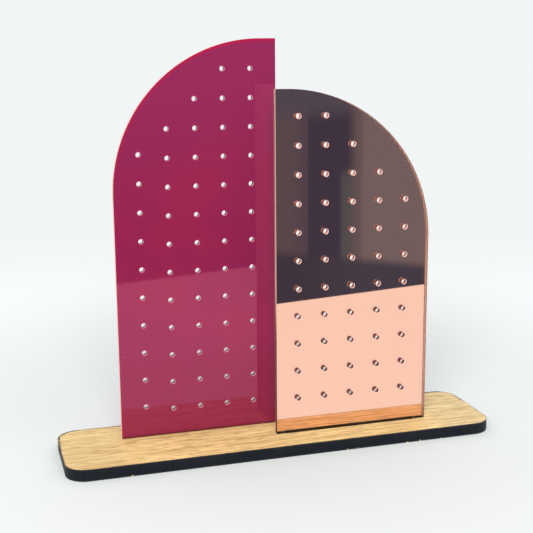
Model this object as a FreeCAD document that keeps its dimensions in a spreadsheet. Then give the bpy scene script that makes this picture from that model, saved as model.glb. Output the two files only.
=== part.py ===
"""Earring display stand: two half-arch acrylic panels that lift out of an oak-veneered board.

Frame: millimetres, +Z up, origin at the middle of the board's underside. The panels face -Y and
stand one behind the other. The short mirrored panel is in the front slot, its arch to the right,
and the tall plain panel is in the rear slot, its arch to the left. Their straight edges overlap.
"""
import FreeCAD, Part
import Sketcher
import os

SIZES = [
    # board: two oak veneers glued to a fibreboard core, and cut through in one pass
    ("board_length", 225.0),
    ("board_depth", 55.0),
    ("board_corner_radius", 10.5),
    ("veneer_thickness", 0.6),
    ("core_thickness", 4.8),
    # slots: one for each panel's tab, equally far from the board's middle
    ("slot_offset", 8.85),
    ("slot_side_gap", 0.15),
    ("slot_end_gap", 0.3),
    # sheet: both panels are cut from sheet of one thickness
    ("sheet_thickness", 3.0),
    ("film_thickness", 0.04),
    ("coat_thickness", 0.08),
    ("panel_overlap", 5.5),
    ("pair_shift", -0.45),
    ("tab_depth", 5.8),
    # tall plain panel
    ("tall_width", 83.2),
    ("tall_height", 200.5),
    ("tall_radius", 75.0),
    ("tall_shoulder", 3.2),
    ("tall_margin", 13.1),
    ("tall_column_pitch", 14.3),
    ("tall_row_pitch", 14.35),
    ("tall_first_row", 13.8),
    ("tall_outer_lift", 2.15),
    # short mirrored panel
    ("mirror_width", 83.0),
    ("mirror_height", 176.2),
    ("mirror_radius", 77.4),
    ("mirror_shoulder", 4.7),
    ("mirror_margin", 11.9),
    ("mirror_column_pitch", 14.45),
    ("mirror_row_pitch", 14.5),
    ("mirror_first_row", 18.0),
    ("mirror_outer_lift", 0.0),
    # earring holes, the same in both panels
    ("hole_diameter", 2.5),
]

# sizes and places that follow from the ones above
DERIVED = [
    ("board_thickness", "=core_thickness + 2 * veneer_thickness"),
    ("slot_width", "=sheet_thickness + 2 * slot_side_gap"),
    ("clear_thickness", "=sheet_thickness - film_thickness - coat_thickness"),
    ("pair_span", "=tall_width + mirror_width - panel_overlap"),
    ("tall_straight_edge", "=pair_shift + tall_width - pair_span / 2"),
    ("mirror_straight_edge", "=pair_shift + pair_span / 2 - mirror_width"),
    ("tall_tab_middle", "=tall_straight_edge - tall_width / 2"),
    ("mirror_tab_middle", "=mirror_straight_edge + mirror_width / 2"),
    ("tall_tab", "=tall_width - 2 * tall_shoulder"),
    ("mirror_tab", "=mirror_width - 2 * mirror_shoulder"),
    ("mirror_front", "=-slot_offset - sheet_thickness / 2"),
    ("film_front", "=mirror_front + clear_thickness"),
    ("coat_front", "=film_front + film_thickness"),
    ("tall_back", "=slot_offset + sheet_thickness / 2"),
]

# holes in each column, from the straight edge outwards
TALL_ROWS = (13, 13, 12, 11, 10)
MIRROR_ROWS = (11, 11, 10, 9, 8)

SKETCH_ORIGIN = (-1, 1)
START, END, MIDDLE = 1, 2, 3

doc = FreeCAD.newDocument("EarringStand")
sizes = doc.addObject("Spreadsheet::Sheet", "Sizes")


def fill_sizes():
    """Write each size into a named cell, a plain number or a formula on other cells."""
    rows = [(alias, str(value)) for alias, value in SIZES] + DERIVED
    for row, (alias, content) in enumerate(rows, start=1):
        sizes.set(f"A{row}", alias)
        sizes.set(f"B{row}", content)
        sizes.setAlias(f"B{row}", alias)
    doc.recompute()


def new_sketch(body, name, role):
    """Add a sketch that lies flat on one of the body's own origin planes."""
    plane = next(item for item in body.Origin.OriginFeatures if item.Role == role)
    sketch = body.newObject("Sketcher::SketchObject", name)
    sketch.AttachmentSupport = [(plane, "")]
    sketch.MapMode = "FlatFace"
    return sketch


def constrain(sketch, kind, *where):
    """Add a constraint and return its number."""
    return sketch.addConstraint(Sketcher.Constraint(kind, *where))


def dimension(sketch, kind, *where_and_value, formula):
    """Add a dimension and tie it to the sheet."""
    number = constrain(sketch, kind, *where_and_value)
    sketch.setExpression(f"Constraints[{number}]", formula)


def draw_rectangle(sketch, length, width, right, top):
    """Draw a rectangle from formulas: its two sizes, and its right and top sides' places."""
    first = sketch.GeometryCount
    corners = [FreeCAD.Vector(x, y, 0) for x, y in ((0, 0), (20, 0), (20, 10), (0, 10))]
    for start, end in zip(corners, corners[1:] + corners[:1]):
        sketch.addGeometry(Part.LineSegment(start, end))
    for side in range(4):
        constrain(sketch, "Coincident", first + side, END, first + (side + 1) % 4, START)
        constrain(sketch, "Vertical" if side % 2 else "Horizontal", first + side)
    dimension(sketch, "DistanceX", first, START, first, END, 20.0, formula=length)
    dimension(sketch, "DistanceY", first + 1, START, first + 1, END, 10.0, formula=width)
    dimension(sketch, "DistanceX", *SKETCH_ORIGIN, first + 1, END, 20.0, formula=right)
    dimension(sketch, "DistanceY", *SKETCH_ORIGIN, first + 1, END, 10.0, formula=top)


def is_upright(edge):
    direction = edge.tangentAt(edge.FirstParameter)
    return abs(direction.z) > 0.99


def make_board_layer(name, thickness, height):
    """Make one layer of the board: a rounded rectangle with both slots cut through it."""
    body = doc.addObject("PartDesign::Body", name)
    outline = new_sketch(body, f"{name}_outline", "XY_Plane")
    draw_rectangle(outline, "Sizes.board_length", "Sizes.board_depth",
                   "Sizes.board_length / 2", "Sizes.board_depth / 2")
    pad = body.newObject("PartDesign::Pad", f"{name}_pad")
    pad.Profile = outline
    pad.setExpression("Length", thickness)
    doc.recompute()

    upright = [f"Edge{number}" for number, edge in enumerate(pad.Shape.Edges, start=1)
               if is_upright(edge)]
    corners = body.newObject("PartDesign::Fillet", f"{name}_corners")
    corners.Base = (pad, upright)
    corners.setExpression("Radius", "Sizes.board_corner_radius")
    doc.recompute()

    slots = new_sketch(body, f"{name}_slots", "XY_Plane")
    for panel, middle in (("tall", "Sizes.slot_offset"), ("mirror", "-Sizes.slot_offset")):
        length = f"(Sizes.{panel}_tab + 2 * Sizes.slot_end_gap)"
        draw_rectangle(slots, length, "Sizes.slot_width",
                       f"Sizes.{panel}_tab_middle + {length} / 2",
                       f"{middle} + Sizes.slot_width / 2")
    cut = body.newObject("PartDesign::Pocket", f"{name}_slot_cut")
    cut.Profile = slots
    cut.Type = "ThroughAll"
    cut.Reversed = True
    body.setExpression("Placement.Base.z", height)
    doc.recompute()
    check_cut(corners, cut)
    return body


def draw_half_arch(sketch, panel):
    """Draw a half arch on its tab, with the foot of its straight edge at the origin.

    Clockwise from the tab: straight edge, flat top, quarter arc, outer side, shoulders. The
    numbers only start the sketch off in the right order, and the dimensions then set it.
    """
    width, height, radius, shoulder, depth = 80.0, 190.0, 70.0, 4.0, 6.0
    flat = width - radius
    spring = height - radius
    places = [(shoulder, -depth), (shoulder, 0), (0, 0), (0, height), (flat, height),
              (width, spring), (width, 0), (width - shoulder, 0), (width - shoulder, -depth)]
    points = [FreeCAD.Vector(x, z, 0) for x, z in places]
    crown = FreeCAD.Vector(flat + radius * 0.6, spring + radius * 0.8, 0)
    edges = []
    for start, end in zip(points, points[1:] + points[:1]):
        curve = Part.LineSegment(start, end)
        if start == points[4]:
            curve = Part.Arc(start, crown, end)
        edges.append(sketch.addGeometry(curve))
    tab_in, foot_in, straight, top, arc, side, foot_out, tab_out, tab_end = edges

    for edge in (tab_in, straight, side, tab_out):
        constrain(sketch, "Vertical", edge)
    for edge in (foot_in, top, foot_out, tab_end):
        constrain(sketch, "Horizontal", edge)
    # the arc runs clockwise, so its own start is at the outer side
    constrain(sketch, "Tangent", top, END, arc, END)
    constrain(sketch, "Tangent", arc, START, side, START)
    corners = [(tab_in, foot_in), (foot_in, straight), (straight, top), (side, foot_out),
               (foot_out, tab_out), (tab_out, tab_end), (tab_end, tab_in)]
    for edge, following in corners:
        constrain(sketch, "Coincident", edge, END, following, START)
    constrain(sketch, "Coincident", straight, START, *SKETCH_ORIGIN)
    constrain(sketch, "Horizontal", foot_in, START, foot_out, START)

    dimension(sketch, "DistanceY", straight, START, straight, END, height,
              formula=f"Sizes.{panel}_height")
    dimension(sketch, "DistanceX", straight, START, side, END, width,
              formula=f"Sizes.{panel}_width")
    dimension(sketch, "Radius", arc, radius, formula=f"Sizes.{panel}_radius")
    dimension(sketch, "DistanceY", tab_in, START, tab_in, END, depth,
              formula="Sizes.tab_depth")
    for foot in (foot_in, foot_out):
        dimension(sketch, "DistanceX", foot, END, foot, START, shoulder,
                  formula=f"Sizes.{panel}_shoulder")


def cut_column(body, panel, column, count, last_column):
    """Cut the lowest hole of a column, and repeat it upwards."""
    name = f"{body.Label}_column_{column}"
    sketch = new_sketch(body, f"{name}_hole", "XZ_Plane")
    radius, across, up = 1.2, 10.0 + 10.0 * column, 15.0
    circle = sketch.addGeometry(Part.Circle(FreeCAD.Vector(across, up, 0),
                                            FreeCAD.Vector(0, 0, 1), radius))
    lift = f" + Sizes.{panel}_outer_lift" if last_column else ""
    dimension(sketch, "Radius", circle, radius, formula="Sizes.hole_diameter / 2")
    dimension(sketch, "DistanceX", *SKETCH_ORIGIN, circle, MIDDLE, across,
              formula=f"Sizes.{panel}_margin + {column} * Sizes.{panel}_column_pitch")
    dimension(sketch, "DistanceY", *SKETCH_ORIGIN, circle, MIDDLE, up,
              formula=f"Sizes.{panel}_first_row{lift}")
    hole = body.newObject("PartDesign::Pocket", f"{name}_first")
    hole.Profile = sketch
    hole.Type = "ThroughAll"
    doc.recompute()

    pattern = body.newObject("PartDesign::LinearPattern", f"{name}_rows")
    pattern.Originals = [hole]
    pattern.Direction = (sketch, ["V_Axis"])
    pattern.Occurrences = count
    pattern.setExpression("Length", f"{count - 1} * Sizes.{panel}_row_pitch")
    body.Tip = pattern
    doc.recompute()
    return pattern


def make_panel_layer(name, panel, thickness, rows, turned=False):
    """Make one layer of a panel, from its front face back, with its grid of holes.

    A turned layer has its arch to the left: it is the same half arch turned round about +Z.
    """
    body = doc.addObject("PartDesign::Body", name)
    outline = new_sketch(body, f"{name}_outline", "XZ_Plane")
    draw_half_arch(outline, panel)
    pad = body.newObject("PartDesign::Pad", f"{name}_pad")
    pad.Profile = outline
    pad.Reversed = True
    pad.setExpression("Length", thickness)
    doc.recompute()

    last = len(rows) - 1
    for column, count in enumerate(rows):
        pattern = cut_column(body, panel, column, count, column == last)
    check_cut(pad, pattern)
    holes = sum(rows)
    hole_area = (pad.Shape.Volume - pattern.Shape.Volume) / holes
    print(f"{name}: {holes} holes, {hole_area:.3f} mm3 cut for each")

    if turned:
        half_turn = FreeCAD.Rotation(FreeCAD.Vector(0, 0, 1), 180)
        body.Placement = FreeCAD.Placement(FreeCAD.Vector(0, 0, 0), half_turn)
    body.setExpression("Placement.Base.x", f"Sizes.{panel}_straight_edge")
    body.setExpression("Placement.Base.z", "Sizes.board_thickness")
    return body


def check_cut(before, after):
    """Stop if a cut took nothing away."""
    if after.Shape.Volume >= before.Shape.Volume:
        raise RuntimeError(f"{after.Label} cut nothing")


def check_document(bodies):
    """Stop if any object failed, or if a sub-part isn't one valid solid."""
    for item in doc.Objects:
        if "Invalid" in item.State or "Error" in item.State:
            raise RuntimeError(f"{item.Label} failed: {item.State}")
    for body in bodies:
        shape = body.Shape
        if shape.isNull() or not shape.isValid() or len(shape.Solids) != 1:
            raise RuntimeError(f"{body.Label} isn't one valid solid")


fill_sizes()

veneer = "Sizes.veneer_thickness"
core = "Sizes.core_thickness"
bottom_veneer = make_board_layer("board_veneer_bottom", veneer, "0 mm")
board_core = make_board_layer("board_core", core, veneer)
top_veneer = make_board_layer("board_veneer_top", veneer, f"{veneer} + {core}")

tall_panel = make_panel_layer("tall_panel", "tall", "Sizes.sheet_thickness", TALL_ROWS, turned=True)
mirror_panel = make_panel_layer("mirror_panel", "mirror", "Sizes.clear_thickness", MIRROR_ROWS)
mirror_film = make_panel_layer("mirror_film", "mirror", "Sizes.film_thickness", MIRROR_ROWS)
mirror_coat = make_panel_layer("mirror_back_coat", "mirror", "Sizes.coat_thickness", MIRROR_ROWS)
tall_panel.setExpression("Placement.Base.y", "Sizes.tall_back")
mirror_panel.setExpression("Placement.Base.y", "Sizes.mirror_front")
mirror_film.setExpression("Placement.Base.y", "Sizes.film_front")
mirror_coat.setExpression("Placement.Base.y", "Sizes.coat_front")
doc.recompute()

bodies = [bottom_veneer, board_core, top_veneer, tall_panel, mirror_panel, mirror_film, mirror_coat]
check_document(bodies)
os.makedirs("parts", exist_ok=True)
for body in bodies:
    body.Shape.exportStep(f"parts/{body.Label}.step")
    box = body.Shape.BoundBox
    print(f"{body.Label}: {body.Shape.Volume:.2f} mm3,",
          f"x {box.XMin:.2f}..{box.XMax:.2f}, y {box.YMin:.2f}..{box.YMax:.2f},",
          f"z {box.ZMin:.2f}..{box.ZMax:.2f}")
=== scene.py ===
"""Looks of the earring display stand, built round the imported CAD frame.

Every piece is a CAD node with a procedural material. The row frame is in metres, +Z up, with the
panels facing -Y, and every material reads positions in that frame.
"""
import math

import bpy
from mathutils import Matrix, Vector


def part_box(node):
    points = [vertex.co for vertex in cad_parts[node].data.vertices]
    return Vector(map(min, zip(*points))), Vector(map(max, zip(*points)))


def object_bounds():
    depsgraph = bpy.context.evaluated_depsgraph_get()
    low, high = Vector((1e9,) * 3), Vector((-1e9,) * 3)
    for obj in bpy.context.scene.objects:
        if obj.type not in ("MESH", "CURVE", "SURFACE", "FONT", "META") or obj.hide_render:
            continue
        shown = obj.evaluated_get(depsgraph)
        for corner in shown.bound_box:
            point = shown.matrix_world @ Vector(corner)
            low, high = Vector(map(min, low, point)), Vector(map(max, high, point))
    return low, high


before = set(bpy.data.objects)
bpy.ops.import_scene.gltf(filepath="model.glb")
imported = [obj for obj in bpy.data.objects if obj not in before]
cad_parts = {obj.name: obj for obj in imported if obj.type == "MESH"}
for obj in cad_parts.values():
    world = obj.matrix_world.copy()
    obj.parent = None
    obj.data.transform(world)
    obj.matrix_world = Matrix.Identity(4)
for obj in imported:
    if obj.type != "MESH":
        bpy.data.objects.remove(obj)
cad_low, cad_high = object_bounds()

MM = 0.001
CENTRE = (cad_low + cad_high) / 2

# the CAD shapes that the materials follow
PANELS = {
    "tall_panel": {"arch_side": -1, "radius": 75.0 * MM, "shoulder": 3.2 * MM,
                   "margin": 13.1 * MM, "column_pitch": 14.3 * MM, "first_row": 13.8 * MM,
                   "row_pitch": 14.35 * MM, "outer_lift": 2.15 * MM},
    "mirror_panel": {"arch_side": 1, "radius": 77.4 * MM, "shoulder": 4.7 * MM,
                     "margin": 11.9 * MM, "column_pitch": 14.45 * MM, "first_row": 18.0 * MM,
                     "row_pitch": 14.5 * MM, "outer_lift": 0.0},
}
HOLE_RADIUS = 1.25 * MM
LIP_WIDTH = 0.28 * MM
# the last column, counted from 0 at the straight edge
OUTER_COLUMN = 4
# no hole's middle is nearer to an arc than this
HOLE_INSET = 9.2 * MM
BOARD_CORNER = 10.5 * MM
SLOT_PLAY = 0.3 * MM

# camera: where it stands round the object, and the point that it looks at
VIEW_AZIMUTH = 16.641
VIEW_ELEVATION = 11.705
VIEW_ROLL = -0.441
VIEW_DISTANCE = 525.5 * MM
VIEW_AIM = CENTRE + Vector((-5.13, 0.0, -10.46)) * MM
LENS_MM = 69.65
SENSOR_MM = 36.0

# studio: the counter is solid within its radius, and has faded out at COUNTER_FADE
COUNTER_RADIUS = 0.25
COUNTER_FADE = 0.9
WORLD_COLOUR = (0.885, 0.915, 0.92, 1.0)
LAMP_SIZE = 1.5
LAMP_POWER = 48.0
LAMP_PLACE = (-0.6, -1.6, 1.1)
CARD_DISTANCE = 281.2 * MM
CARD_TURN = -11.2
CARD_SIZE = (4.0, 1.6)
# left, right, front and back of the bright sheet that lies before the stand, and its height
APRON = (-0.5, 0.9, -0.6, -0.035)
APRON_HEIGHT = 0.3 * MM

# tall panel: how far its face leans forward in the slot, as a slope
LEAN = 0.040
# mirror film: how far it is pressed into the clear sheet
FILM_PRESS = 0.01 * MM


def srgb(red, green, blue):
    """A colour given as 0 to 255 on a screen, as the linear RGBA that shaders use."""
    def linear(value):
        share = value / 255
        return share / 12.92 if share <= 0.04045 else ((share + 0.055) / 1.055) ** 2.4
    return (linear(red), linear(green), linear(blue), 1.0)


class HalfArch:
    """One panel's outline and hole grid, measured from a material."""

    def __init__(self, surface, panel):
        self.surface = surface
        self.shape = PANELS[panel]
        self.low, self.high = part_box(panel)
        self.side = self.shape["arch_side"]
        ends = (self.low.x, self.high.x)
        self.straight, self.outer = ends if self.side > 0 else ends[::-1]
        x = surface.axis(surface.position, 0)
        z = surface.axis(surface.position, 2)
        self.from_arc, self.upward = self.arc_inset(x, z)
        from_straight = surface.math("SUBTRACT", x, self.straight)
        self.from_straight = surface.math("ABSOLUTE", from_straight)
        self.inset = surface.math("MINIMUM", self.from_arc, self.from_straight)
        self.depth = surface.math("SUBTRACT", surface.axis(surface.position, 1), self.low.y)
        self.lips = self.hole_lips(x, z)

    def arc_inset(self, x, z):
        """How far in from the arc a place is, and how much the arc faces upwards there."""
        surface, radius = self.surface, self.shape["radius"]
        spring = self.outer - self.side * radius
        aside = surface.math("MULTIPLY", surface.math("SUBTRACT", x, spring), self.side)
        aside = surface.math("MAXIMUM", aside, 0.0)
        above = surface.math("MAXIMUM", surface.math("SUBTRACT", z, self.high.z - radius), 0.0)
        reach = surface.length(aside, above)
        return surface.math("SUBTRACT", radius, reach), surface.math("DIVIDE", above, reach)

    def hole_lips(self, x, z):
        """A mask of the thin lip that the laser raised round each hole."""
        surface, shape = self.surface, self.shape
        first = self.straight + self.side * shape["margin"]
        step = self.side * shape["column_pitch"]
        column = surface.math("ROUND", surface.math("DIVIDE", surface.math("SUBTRACT", x, first),
                                                    step))
        middle_x = surface.math("MULTIPLY_ADD", column, step, first)
        is_outer = surface.math("GREATER_THAN", column, OUTER_COLUMN - 0.5)
        lift = surface.math("MULTIPLY", is_outer, shape["outer_lift"])
        base = surface.math("ADD", lift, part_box("board_veneer_top")[1].z + shape["first_row"])
        row = surface.math("ROUND", surface.math("DIVIDE", surface.math("SUBTRACT", z, base),
                                                 shape["row_pitch"]))
        middle_z = surface.math("MULTIPLY_ADD", row, shape["row_pitch"], base)
        from_hole = surface.length(surface.math("SUBTRACT", x, middle_x),
                                   surface.math("SUBTRACT", z, middle_z))
        ring = surface.between(from_hole, HOLE_RADIUS + 0.05 * MM, HOLE_RADIUS + LIP_WIDTH,
                               1.0, 0.0)
        drilled = surface.math("GREATER_THAN", self.arc_inset(middle_x, middle_z)[0], HOLE_INSET)
        above_board = surface.math("GREATER_THAN", row, -0.5)
        return surface.math("MULTIPLY", ring, surface.math("MULTIPLY", drilled, above_board))


class Surface:
    """A Principled material, and short calls for the procedural nodes that feed it."""

    def __init__(self, name, **values):
        self.material = bpy.data.materials.new(name)
        self.material.use_nodes = True
        self.tree = self.material.node_tree
        self.shader = self.tree.nodes["Principled BSDF"]
        for socket, value in values.items():
            self.set(socket.replace("_", " "), value)
        place = self.tree.nodes.new("ShaderNodeTexCoord")
        self.position = place.outputs["Object"]
        self.normal = place.outputs["Normal"]

    def set(self, socket, value):
        """Give one of the shader's sockets a value or a node's output."""
        self.feed(self.shader.inputs[socket], value)

    def feed(self, socket, value):
        if isinstance(value, bpy.types.NodeSocket):
            self.tree.links.new(value, socket)
        else:
            socket.default_value = value

    def node(self, kind, inputs, **settings):
        """Add a node with these settings; inputs go by name or number."""
        made = self.tree.nodes.new(kind)
        for setting, value in settings.items():
            setattr(made, setting, value)
        for socket, value in inputs.items():
            self.feed(made.inputs[socket], value)
        return made

    def math(self, operation, *values):
        return self.node("ShaderNodeMath", dict(enumerate(values)), operation=operation).outputs[0]

    def axis(self, vector, index):
        return self.node("ShaderNodeSeparateXYZ", {0: vector}).outputs[index]

    def stretched(self, factors, vector=None):
        """The position times a factor on each axis: texture is finer where it is larger."""
        inputs = {0: vector or self.position, 1: factors}
        return self.node("ShaderNodeVectorMath", inputs, operation="MULTIPLY").outputs[0]

    def noise(self, factors, detail=3.0, roughness=0.55, vector=None):
        inputs = {"Vector": self.stretched(factors, vector), "Scale": 1.0, "Detail": detail,
                  "Roughness": roughness}
        return self.node("ShaderNodeTexNoise", inputs).outputs["Fac"]

    def between(self, value, low, high, at_low=0.0, at_high=1.0):
        """Map value from low..high to at_low..at_high, smoothly and within those limits."""
        inputs = {"Value": value, "From Min": low, "From Max": high, "To Min": at_low,
                  "To Max": at_high}
        made = self.node("ShaderNodeMapRange", inputs, interpolation_type="SMOOTHSTEP")
        return made.outputs["Result"]

    def mix(self, share, first, second):
        """Two colours mixed by share."""
        made = self.node("ShaderNodeMix", {0: share, 6: first, 7: second}, data_type="RGBA")
        return made.outputs[2]

    def bump(self, height, distance, strength=1.0):
        inputs = {"Height": height, "Distance": distance, "Strength": strength}
        self.set("Normal", self.node("ShaderNodeBump", inputs).outputs["Normal"])

    def specks(self, spacing, radius, share):
        """A mask of small round specks, in a share of the cells of a grid of that spacing."""
        cells = self.node("ShaderNodeTexVoronoi", {"Vector": self.stretched((1 / spacing,) * 3),
                                                   "Scale": 1.0})
        chosen = self.math("LESS_THAN", self.axis(cells.outputs["Color"], 0), share)
        near = self.between(cells.outputs["Distance"], 0.4 * radius / spacing, radius / spacing,
                            1.0, 0.0)
        return self.math("MULTIPLY", near, chosen)

    def walls(self, index):
        """1 on the cut walls of a sheet that faces along this axis, and 0 on its faces."""
        return self.between(self.math("ABSOLUTE", self.axis(self.normal, index)), 0.5, 0.8,
                            1.0, 0.0)

    def length(self, first, second):
        squares = self.math("MULTIPLY_ADD", first, first, self.math("MULTIPLY", second, second))
        return self.math("SQRT", squares)

    def box_distance(self, middle, half_size, radius=0.0):
        """Distance in plan from a box with rounded corners, less than 0 inside it."""
        sides = []
        for index in range(2):
            offset = self.math("SUBTRACT", self.axis(self.position, index), middle[index])
            sides.append(self.math("SUBTRACT", self.math("ABSOLUTE", offset),
                                   half_size[index] - radius))
        corner = self.length(self.math("MAXIMUM", sides[0], 0.0),
                             self.math("MAXIMUM", sides[1], 0.0))
        inside = self.math("MINIMUM", self.math("MAXIMUM", *sides), 0.0)
        return self.math("SUBTRACT", self.math("ADD", corner, inside), radius)


def magenta_acrylic():
    """Opaque polished sheet, its pigment tinting its shine; a painted glow under its upper edges.
    """
    surface = Surface("magenta_acrylic", IOR=1.6, Specular_IOR_Level=1.0,
                      Specular_Tint=(1.0, 0.33, 0.5, 1.0))
    arch = HalfArch(surface, "tall_panel")
    z = surface.axis(surface.position, 2)
    cloud = surface.noise((16, 16, 16), detail=2.0)
    colour = surface.mix(surface.between(cloud, 0.35, 0.65), srgb(117, 26, 62), srgb(125, 27, 60))
    # painted light: purpler high up and a darker red at the foot, for how light falls on the panel
    violet = surface.between(z, 0.12, 0.2)
    colour = surface.mix(violet, colour, srgb(122, 32, 70))
    colour = surface.mix(surface.between(z, 0.03, 0.06, 1.0, 0.0), colour, srgb(114, 25, 56))
    # painted glow: a brighter crimson band inside the arc, strongest where the arc faces up
    glow = surface.math("MULTIPLY", surface.between(arch.from_arc, 0.2 * MM, 2.2 * MM, 1.0, 0.0),
                        surface.math("MULTIPLY_ADD", arch.upward, 0.75, 0.1))
    colour = surface.mix(glow, colour, srgb(158, 14, 50))
    # painted shade: a dark band along the foot, just above the board
    shade = surface.between(z, 6.2 * MM, 7.6 * MM, 0.7, 0.0)
    colour = surface.mix(shade, colour, srgb(52, 8, 14))
    dust = surface.specks(9 * MM, 0.16 * MM, 0.3)
    colour = surface.mix(dust, colour, srgb(225, 195, 205))
    # painted highlight: a pale pink ring on the raised lip round each hole
    painted_lip_highlight = surface.math("MULTIPLY", arch.lips, 0.5)
    colour = surface.mix(painted_lip_highlight, colour, srgb(214, 120, 140))

    walls = surface.walls(1)
    # painted highlight and shade in the holes: the bore is pale rose at its mouth, dark deeper in
    hole_wall = surface.mix(surface.between(arch.depth, 0.35 * MM, 1.1 * MM), srgb(238, 170, 176),
                            srgb(78, 46, 56))
    streak = surface.noise((500, 60, 500), detail=2.0)
    outer_wall = surface.mix(streak, srgb(226, 164, 150), srgb(238, 204, 188))
    wall = surface.mix(surface.between(arch.inset, 0.5 * MM, 1.0 * MM), outer_wall, hole_wall)
    surface.set("Base Color", surface.mix(walls, colour, wall))
    smudge = surface.between(surface.noise((30, 30, 30), detail=4.0), 0.35, 0.75, 0.03, 0.07)
    surface.set("Roughness", surface.math("MULTIPLY_ADD", walls, 0.5, smudge))
    ripple = surface.noise((22, 22, 22), detail=1.0)
    surface.bump(surface.math("MULTIPLY_ADD", z, LEAN / MM, surface.math("MULTIPLY", ripple, 0.02)),
                 1.0 * MM)
    return surface.material


def rose_acrylic():
    """Clear rose-tinted sheet in front of the mirror film, with frosted laser-cut walls.

    The straight edge has a painted highlight at the front and painted shade towards its foot, and
    the arc a painted highlight at the back. The holes have a pale lip, shaded low down, round a
    bore with a painted highlight at its mouth and painted shade deeper in and near the board.
    """
    surface = Surface("rose_clear_acrylic", IOR=1.49)
    arch = HalfArch(surface, "mirror_panel")
    z = surface.axis(surface.position, 2)
    walls = surface.walls(1)
    streak = surface.noise((20, 20, 20), detail=1.0)
    tint = surface.mix(streak, (1.0, 0.60, 0.455, 1.0), (1.0, 0.62, 0.475, 1.0))
    # painted highlight and shade: the straight edge is pale at the front and darker behind
    straight = surface.mix(surface.between(arch.depth, 0.8 * MM, 1.8 * MM), srgb(255, 226, 210),
                           srgb(196, 100, 90))
    # painted shade: the straight edge darkens towards its foot
    straight = surface.mix(surface.between(z, 0.055, 0.085, 0.9, 0.0), straight, srgb(90, 30, 26))
    # painted light: the arc's wall is brighter towards the back
    curved = surface.mix(surface.between(arch.depth, 0.3 * MM, 2.0 * MM), srgb(206, 142, 124),
                         srgb(255, 222, 208))
    # painted shade: the bores and lips are darker towards the board
    above_painted_shade = surface.between(z, 0.055, 0.13)
    painted_bore_shade = surface.mix(above_painted_shade, srgb(128, 66, 52), srgb(206, 132, 120))
    # painted highlight at the mouth of each bore, and painted shade deeper in
    bore = surface.mix(surface.between(arch.depth, 0.25 * MM, 0.7 * MM), srgb(255, 222, 208),
                       painted_bore_shade)
    # the cut walls' colour, carrying the painted highlights and shade above
    frost_and_painted_light = surface.mix(surface.between(arch.from_straight, 0.3 * MM, 0.6 * MM), straight, curved)
    frost_and_painted_light = surface.mix(surface.between(arch.inset, 0.5 * MM, 1.0 * MM), frost_and_painted_light, bore)
    lip = surface.mix(above_painted_shade, srgb(244, 190, 174), srgb(255, 216, 206))
    colour = surface.mix(arch.lips, tint, lip)
    surface.set("Base Color", surface.mix(walls, colour, frost_and_painted_light))
    cut = surface.math("MAXIMUM", walls, arch.lips)
    surface.set("Roughness", surface.math("MULTIPLY", cut, 0.8))
    milky = surface.between(arch.inset, 0.5 * MM, 1.0 * MM, -0.55, -0.25)
    clear = surface.math("MULTIPLY_ADD", walls, milky, 1.0)
    surface.set("Transmission Weight", surface.math("MULTIPLY_ADD", arch.lips, -0.7, clear))
    return surface.material


def mirror_film():
    """The sheet's metal layer, with a trace of haze."""
    surface = Surface("mirror_film", Metallic=1.0)
    haze = surface.noise((25, 25, 25), detail=3.0)
    surface.set("Base Color", surface.mix(haze, (0.96, 0.96, 0.96, 1.0), (0.99, 0.99, 0.99, 1.0)))
    surface.set("Roughness", surface.between(haze, 0.3, 0.8, 0.004, 0.012))
    return surface.material


def mirror_paint():
    """Pale grey protective paint, sprayed, with a fine orange peel."""
    surface = Surface("mirror_paint")
    mottle = surface.noise((120, 120, 120), detail=4.0)
    surface.set("Base Color", surface.mix(mottle, srgb(238, 234, 233), srgb(248, 245, 244)))
    surface.set("Roughness", surface.between(mottle, 0.3, 0.7, 0.4, 0.6))
    surface.bump(surface.noise((900, 900, 900), detail=2.0), 0.03 * MM)
    return surface.material


def slot_box(panel):
    """Middle and half size in plan of the slot that a panel's tab stands in."""
    low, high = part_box(panel)
    half = (high.x - low.x) / 2 - PANELS[panel]["shoulder"] + SLOT_PLAY
    middle = (low + high) / 2
    return (middle.x, middle.y), (half, (high.y - low.y) / 2)


def veneer_char(surface):
    """How burnt the veneer is: wholly on its cut walls, then brown just beside them."""
    low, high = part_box("board_veneer_top")
    board = surface.box_distance((0.0, 0.0), (high.x, high.y), BOARD_CORNER)
    behind = surface.between(surface.axis(surface.position, 1), 0.0, 20 * MM)
    board = surface.math("MULTIPLY_ADD", behind, 0.9 * MM, board)
    burn = surface.between(board, -0.5 * MM, -0.1 * MM)
    for panel in PANELS:
        slot = surface.box_distance(*slot_box(panel))
        burn = surface.math("MAXIMUM", burn, surface.between(slot, 0.2 * MM, 0.6 * MM, 1.0, 0.0))
    uneven = surface.between(surface.noise((140, 140, 140), detail=3.0), 0.35, 0.65, 0.25, 1.0)
    return surface.math("MAXIMUM", surface.math("MULTIPLY", burn, uneven), surface.walls(2))


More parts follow.
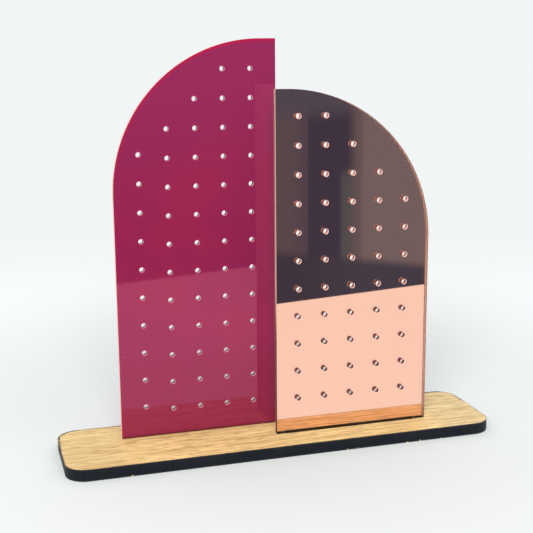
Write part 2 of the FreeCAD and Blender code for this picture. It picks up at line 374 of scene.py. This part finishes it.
def oak_veneer(name, gold=0.0):
    """Pale oak with short dark pores along X; gold is the share of its edge left unburnt."""
    surface = Surface(name)
    warp = surface.noise((4, 14, 14), detail=2.0)
    x = surface.axis(surface.position, 0)
    y = surface.axis(surface.position, 1)
    bent = surface.math("MULTIPLY_ADD", warp, 3.5 * MM, y)
    grain = surface.node("ShaderNodeCombineXYZ", {"X": x, "Y": bent}).outputs[0]
    bands = surface.noise((5, 90, 1), detail=2.0, vector=grain)
    streaks = surface.noise((26, 700, 1), detail=3.0, roughness=0.65, vector=grain)
    pores = surface.noise((110, 1900, 1), detail=1.0, vector=grain)
    colour = surface.mix(surface.between(bands, 0.35, 0.65), srgb(223, 191, 133),
                         srgb(213, 179, 120))
    colour = surface.mix(surface.between(x, 60 * MM, 100 * MM, 0.0, 0.6), colour,
                         srgb(218, 197, 152))
    # painted light: a paler strip on the board in front of the panels, lifting the shade they cast
    painted_front_light = surface.box_distance((0.0, -14 * MM), (78 * MM, 12 * MM))
    colour = surface.mix(surface.between(painted_front_light, 0.0, 12 * MM, 1.0, 0.0), colour,
                         srgb(245, 209, 146))
    streak_share = surface.between(streaks, 0.4, 0.62, 0.0, 0.75)
    colour = surface.mix(streak_share, colour, srgb(184, 146, 88))
    pore_share = surface.between(pores, 0.54, 0.66, 0.0, 0.65)
    colour = surface.mix(pore_share, colour, srgb(130, 94, 50))
    char = veneer_char(surface)
    if gold:
        patches = surface.noise((420, 420, 300), detail=2.0)
        spared = surface.between(patches, 0.78 - gold, 0.81 - gold)
        char = surface.math("MULTIPLY", char, surface.math("SUBTRACT", 1.0, spared))
    surface.set("Base Color", surface.mix(char, colour, srgb(17, 19, 23)))
    surface.set("Roughness", surface.between(streaks, 0.3, 0.7, 0.5, 0.66))
    surface.bump(surface.math("SUBTRACT", streaks, pore_share), 0.05 * MM, strength=0.5)
    return surface.material


def charred_core():
    """Fibreboard core, burnt black by the laser, with fine upright cutting lines."""
    surface = Surface("charred_fibreboard", Specular_IOR_Level=0.25)
    lines = surface.noise((1600, 1600, 60), detail=2.0)
    patches = surface.noise((60, 60, 200), detail=4.0)
    black = surface.mix(patches, srgb(5, 10, 16), srgb(12, 18, 26))
    surface.set("Base Color", surface.mix(surface.between(lines, 0.45, 0.8), black,
                                          srgb(20, 28, 37)))
    surface.set("Roughness", surface.between(patches, 0.3, 0.7, 0.5, 0.7))
    surface.bump(lines, 0.08 * MM)
    return surface.material


def dress_nodes():
    """Give every CAD node its material."""
    looks = {
        "tall_panel": magenta_acrylic(),
        "mirror_panel": rose_acrylic(),
        "mirror_film": mirror_film(),
        "mirror_back_coat": mirror_paint(),
        "board_veneer_top": oak_veneer("oak_veneer_top"),
        "board_veneer_bottom": oak_veneer("oak_veneer_bottom", gold=0.1),
        "board_core": charred_core(),
    }
    for name, material in looks.items():
        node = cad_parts[name]
        node.data.materials.clear()
        node.data.materials.append(material)


def press_film():
    """Press the film a hair into the clear sheet, so that no surface shows between them."""
    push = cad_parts["mirror_film"].modifiers.new("pressed", "DISPLACE")
    push.strength = FILM_PRESS
    push.mid_level = 0.0


def stage_sheet(name, corners, material):
    """A flat sheet of the studio, through these corners."""
    mesh = bpy.data.meshes.new(name)
    mesh.from_pydata(corners, [], [tuple(range(len(corners)))])
    mesh.materials.append(material)
    sheet = bpy.data.objects.new(name, mesh)
    bpy.context.scene.collection.objects.link(sheet)
    return sheet


def build_counter():
    """A pale floor that fades out with distance, so that it has no horizon."""
    surface = Surface("pale_counter", Specular_IOR_Level=0.0, Roughness=0.6)
    clear = surface.tree.nodes.new("ShaderNodeBsdfTransparent")
    reach = surface.node("ShaderNodeVectorMath", {0: surface.position}, operation="LENGTH")
    # painted light: the floor is paler further out, where the lamp's light falls off
    far = surface.between(reach.outputs["Value"], 0.12, 0.45)
    surface.set("Base Color", surface.mix(far, (0.62, 0.632, 0.624, 1.0),
                                          (0.76, 0.77, 0.765, 1.0)))
    share = surface.between(reach.outputs["Value"], COUNTER_RADIUS, COUNTER_FADE)
    blend = surface.node("ShaderNodeMixShader", {0: share, 1: surface.shader.outputs[0],
                                                 2: clear.outputs[0]})
    output = surface.tree.nodes["Material Output"]
    surface.tree.links.new(blend.outputs[0], output.inputs["Surface"])
    half = COUNTER_FADE * 1.05
    corners = [(-half, -half, 0), (half, -half, 0), (half, half, 0), (-half, half, 0)]
    stage_sheet("counter", corners, surface.material)


def unseen_sheet(name, corners, colour_of):
    """A glowing sheet of the studio that shows only in reflections."""
    surface = Surface(name, Base_Color=(0.0, 0.0, 0.0, 1.0), Specular_IOR_Level=0.0)
    surface.set("Emission Color", colour_of(surface))
    surface.set("Emission Strength", 1.0)
    sheet = stage_sheet(name, corners, surface.material)
    sheet.visible_camera = False
    sheet.visible_diffuse = False
    sheet.visible_shadow = False
    return sheet


def card_colour(surface):
    """A dim room: a wall, a dark doorway, a lighter wall to the right, and a dark skirting."""
    x = surface.axis(surface.position, 0)
    z = surface.axis(surface.position, 2)
    room = surface.mix(surface.between(x, 96 * MM, 118 * MM), (0.102, 0.104, 0.141, 1.0),
                       (0.088, 0.086, 0.145, 1.0))
    doorway = surface.between(x, 116.5 * MM, 120 * MM)
    colour = surface.mix(doorway, room, (0.051, 0.055, 0.106, 1.0))
    shrub = surface.math("MULTIPLY", surface.between(x, 147 * MM, 152 * MM),
                         surface.between(z, 96 * MM, 110 * MM, 1.0, 0.0))
    colour = surface.mix(shrub, colour, (0.084, 0.113, 0.150, 1.0))
    colour = surface.mix(surface.between(z, 142 * MM, 160 * MM), colour,
                         (0.082, 0.095, 0.158, 1.0))
    colour = surface.mix(surface.between(x, 154 * MM, 167 * MM), colour,
                         (0.128, 0.132, 0.170, 1.0))
    colour = surface.mix(surface.between(x, 166 * MM, 174 * MM), colour,
                         (0.172, 0.180, 0.225, 1.0))
    skirting = surface.math("MULTIPLY_ADD", x, 0.17, z)
    low = surface.between(skirting, 52 * MM, 63 * MM, 1.0, 0.0)
    dark = surface.mix(surface.between(x, 100 * MM, 180 * MM), (0.051, 0.057, 0.099, 1.0),
                       (0.061, 0.072, 0.123, 1.0))
    return surface.mix(low, colour, dark)


def build_card():
    """A dark card in front of the stand, as a room behind the camera."""
    wide, tall = CARD_SIZE
    corners = [(-wide / 2, 0, 0), (wide / 2, 0, 0), (wide / 2, 0, tall), (-wide / 2, 0, tall)]
    card = unseen_sheet("dark_card", corners, card_colour)
    card.rotation_euler = (0, 0, math.radians(CARD_TURN))
    card.location = (0, -CARD_DISTANCE, 0)


def apron_colour(surface):
    mottle = surface.noise((6, 6, 6), detail=2.0)
    return surface.mix(mottle, (0.99, 0.93, 0.90, 1.0), (1.01, 0.97, 0.95, 1.0))


def build_apron():
    """A bright sheet on the counter between the stand and the card."""
    left, right, near, far = APRON
    plan = [(left, near), (right, near), (right, far), (left, far)]
    corners = [(x, y, APRON_HEIGHT) for x, y in plan]
    unseen_sheet("bright_apron", corners, apron_colour)


def light_studio():
    """Even white surroundings, and one large soft lamp above the camera."""
    world = bpy.data.worlds.new("studio")
    world.use_nodes = True
    background = world.node_tree.nodes["Background"]
    background.inputs["Color"].default_value = WORLD_COLOUR
    bpy.context.scene.world = world
    lamp = bpy.data.lights.new("softbox", "AREA")
    lamp.shape = "DISK"
    lamp.size = LAMP_SIZE
    lamp.energy = LAMP_POWER
    holder = bpy.data.objects.new("softbox", lamp)
    bpy.context.scene.collection.objects.link(holder)
    holder.location = LAMP_PLACE
    aim = CENTRE - holder.location
    holder.rotation_euler = aim.to_track_quat("-Z", "Y").to_euler()
    holder.visible_camera = False
    holder.visible_glossy = False


def place_camera():
    """Stand the camera to the left of the stand and above it, and turn it to its aim."""
    azimuth = math.radians(VIEW_AZIMUTH)
    elevation = math.radians(VIEW_ELEVATION)
    sight = Vector((math.sin(azimuth) * math.cos(elevation),
                    math.cos(azimuth) * math.cos(elevation), -math.sin(elevation)))
    camera = bpy.data.cameras.new("camera")
    camera.sensor_width = SENSOR_MM
    camera.lens = LENS_MM
    holder = bpy.data.objects.new("camera", camera)
    bpy.context.scene.collection.objects.link(holder)
    holder.location = VIEW_AIM - sight * VIEW_DISTANCE
    turn = sight.to_track_quat("-Z", "Y").to_matrix()
    roll = Matrix.Rotation(math.radians(VIEW_ROLL), 3, "Z")
    holder.rotation_euler = (turn @ roll).to_euler()
    bpy.context.scene.camera = holder


dress_nodes()
press_film()
build_counter()
build_card()
build_apron()
light_studio()
place_camera()
bpy.context.scene.view_settings.view_transform = "Standard"
